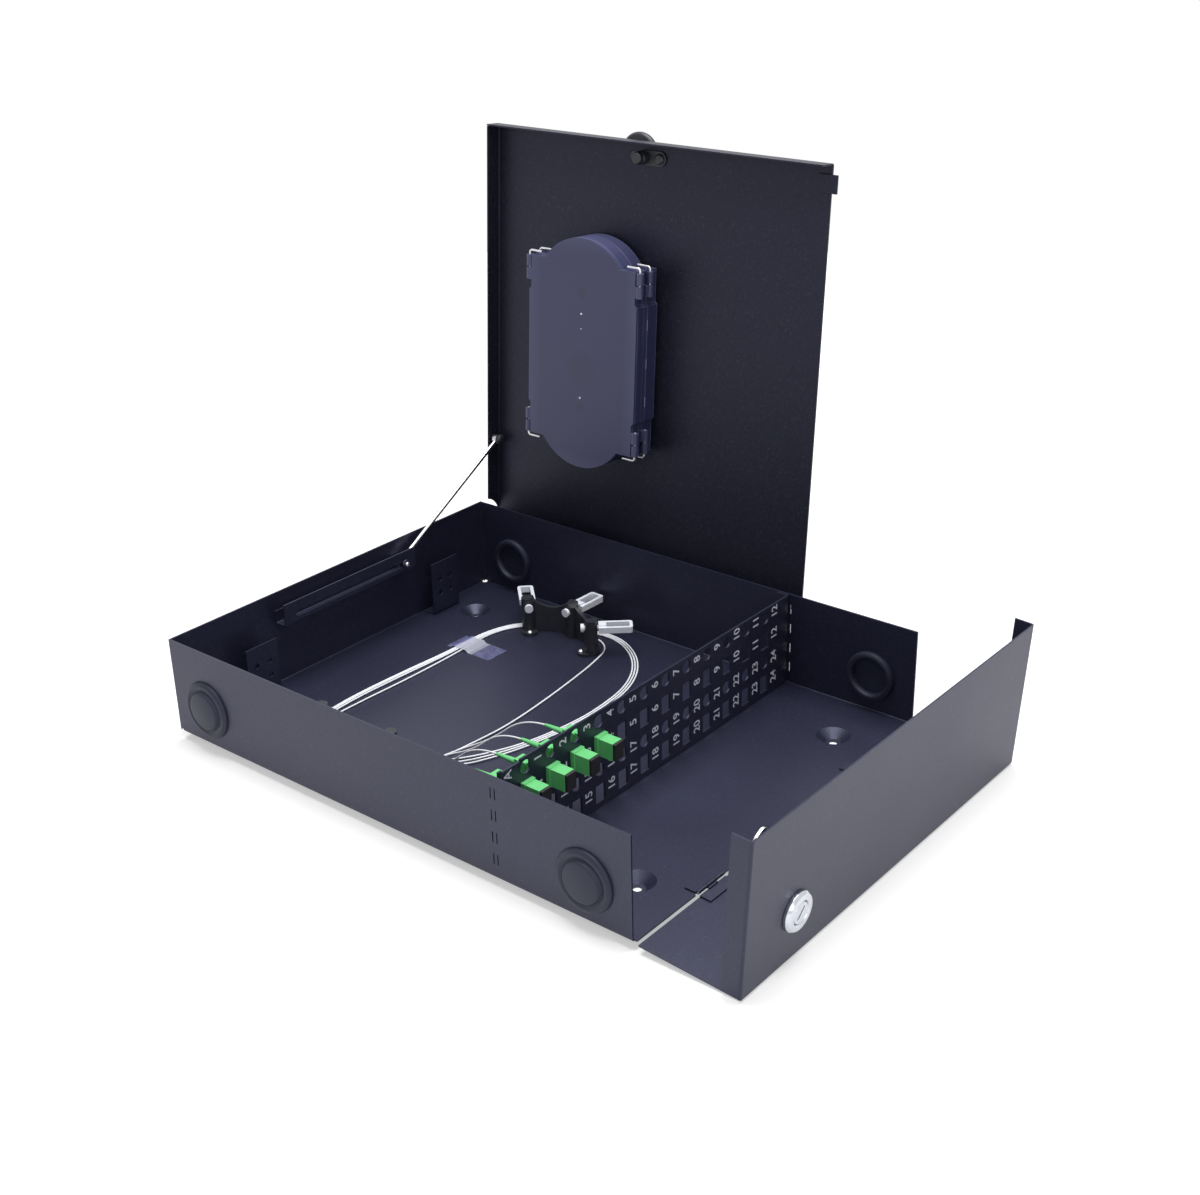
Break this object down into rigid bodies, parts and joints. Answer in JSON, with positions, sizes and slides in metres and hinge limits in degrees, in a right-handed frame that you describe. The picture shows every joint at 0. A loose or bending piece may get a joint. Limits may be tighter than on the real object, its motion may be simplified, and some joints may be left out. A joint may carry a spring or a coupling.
{
  "type": "fibre wall box",
  "caption": "Black sheet-steel fibre wall box with a hinged lid on a stay, a lockable end door, an adapter panel, fibre guides and a splice cassette",
  "frame": {"origin": "centre of the mounting hole pattern, in the plane of the dished feet that meets the wall", "axes": "+X towards the door end, +Y towards the lid hinge, +Z away from the wall"},
  "size_m": [0.5102, 0.388, 0.3955],
  "materials": {
    "black_sheet": "fine textured powder coat",
    "black_rubber": "matte",
    "black_plastic": "matte moulded",
    "white_plastic": "satin moulded",
    "green_plastic": "satin moulded",
    "white_cord": "satin",
    "smoke_plastic": "translucent, satin",
    "clear_tape": "clear film",
    "bright_steel": "bright zinc",
    "chrome": "polished"
  },
  "bodies": {
    "box": {"base_tray": "black_sheet", "adapter_panel": "black_sheet", "grommet_near_1": "black_rubber", "grommet_near_2": "black_rubber", "grommet_rear_1": "black_rubber", "grommet_rear_2": "black_rubber", "stay_bracket": "black_sheet", "cable_bracket_1": "black_sheet", "cable_bracket_2": "black_sheet", "fibre_guide_rear": "black_plastic", "fibre_guide_near": "black_plastic", "adapter_1": "green_plastic", "adapter_2": "green_plastic", "adapter_3": "green_plastic", "adapter_4": "green_plastic", "dust_cap_1": "black_plastic", "dust_cap_2": "black_plastic", "dust_cap_3": "black_plastic", "dust_cap_4": "black_plastic", "connector_1": "green_plastic", "connector_2": "green_plastic", "connector_3": "green_plastic", "connector_4": "green_plastic", "pigtail_1": "white_cord", "pigtail_2": "white_cord", "pigtail_3": "white_cord", "pigtail_4": "white_cord", "tape_strip": "clear_tape", "lid_hinge_wall_leaves": "black_sheet", "lid_hinge_pins": "bright_steel", "door_hinge_floor_leaves": "black_sheet", "door_hinge_pins": "bright_steel"},
    "lid": {"lid_panel": "black_sheet", "lid_hinge_leaves": "black_sheet", "keeper_tab": "black_sheet", "lid_knob": "black_plastic", "knob_plate": "black_plastic", "knob_nut": "black_plastic", "knob_screw": "black_plastic", "stay_stud": "black_plastic", "cassette_base": "smoke_plastic", "cassette_tray": "smoke_plastic", "cassette_cover": "smoke_plastic", "cassette_wire_pins": "bright_steel"},
    "stay_rod": {"stay_rod": "bright_steel"},
    "stay_pin": {"stay_pin": "black_sheet"},
    "door": {"door_cover": "black_sheet", "door_hinge_leaves": "black_sheet", "lock_body": "chrome", "lock_nut": "bright_steel"},
    "lock": {"lock_plug": "chrome", "lock_cam": "bright_steel", "cam_screw": "bright_steel"},
    "gate_rear_1": {"gate_rear_1": "white_plastic"},
    "gate_rear_2": {"gate_rear_2": "white_plastic"},
    "gate_rear_3": {"gate_rear_3": "white_plastic"},
    "gate_near_1": {"gate_near_1": "white_plastic"},
    "gate_near_2": {"gate_near_2": "white_plastic"},
    "gate_near_3": {"gate_near_3": "white_plastic"}
  },
  "joints": [
    {"name": "lid_hinge", "type": "hinge", "parent": "box", "child": "lid", "pos_m": [0, 0.1673, 0.0645], "axis": [1, 0, 0], "range_deg": [0, 94.1]},
    {"name": "stay_rod_turn", "type": "hinge", "parent": "lid", "child": "stay_rod", "pos_m": [-0.205, 0.1826, 0.13388], "axis": [1, 0, 0], "range_deg": [-120, 1]},
    {"name": "stay_pin_slide", "type": "slide", "parent": "box", "child": "stay_pin", "axis": [0, -1, 0], "range_m": [-0.0005, 0.1045]},
    {"name": "door_hinge", "type": "hinge", "parent": "box", "child": "door", "pos_m": [0.2148, 0, 0.0086], "axis": [0, -1, 0], "range_deg": [0, 93.54]},
    {"name": "lock_turn", "type": "hinge", "parent": "door", "child": "lock", "pos_m": [0.29314, -0.115, 0.03592], "axis": [-0.9981, 0, 0.0617], "range_deg": [0, 90]},
    {"name": "gate_rear_1_turn", "type": "hinge", "parent": "box", "child": "gate_rear_1", "pos_m": [-0.11409, 0.11255, 0.0302], "axis": [-0.7193, 0.6947, 0], "range_deg": [0, 90]},
    {"name": "gate_rear_2_turn", "type": "hinge", "parent": "box", "child": "gate_rear_2", "pos_m": [-0.0798, 0.12658, 0.0302], "axis": [0.0262, 0.9997, 0], "range_deg": [0, 90]},
    {"name": "gate_rear_3_turn", "type": "hinge", "parent": "box", "child": "gate_rear_3", "pos_m": [-0.04628, 0.11078, 0.0302], "axis": [0.7547, 0.6561, 0], "range_deg": [0, 90]},
    {"name": "gate_near_1_turn", "type": "hinge", "parent": "box", "child": "gate_near_1", "pos_m": [-0.11409, -0.11255, 0.0302], "axis": [-0.7193, -0.6947, 0], "range_deg": [0, 90]},
    {"name": "gate_near_2_turn", "type": "hinge", "parent": "box", "child": "gate_near_2", "pos_m": [-0.0798, -0.12658, 0.0302], "axis": [0.0262, -0.9997, 0], "range_deg": [0, 90]},
    {"name": "gate_near_3_turn", "type": "hinge", "parent": "box", "child": "gate_near_3", "pos_m": [-0.04628, -0.11078, 0.0302], "axis": [0.7547, -0.6561, 0], "range_deg": [0, 90]}
  ],
  "couplings": [
    {"joint": "stay_rod_turn", "follows": "lid_hinge", "ratio": -1.2686},
    {"joint": "stay_pin_slide", "follows": "lid_hinge", "m_per_rad": 0.06327}
  ]
}
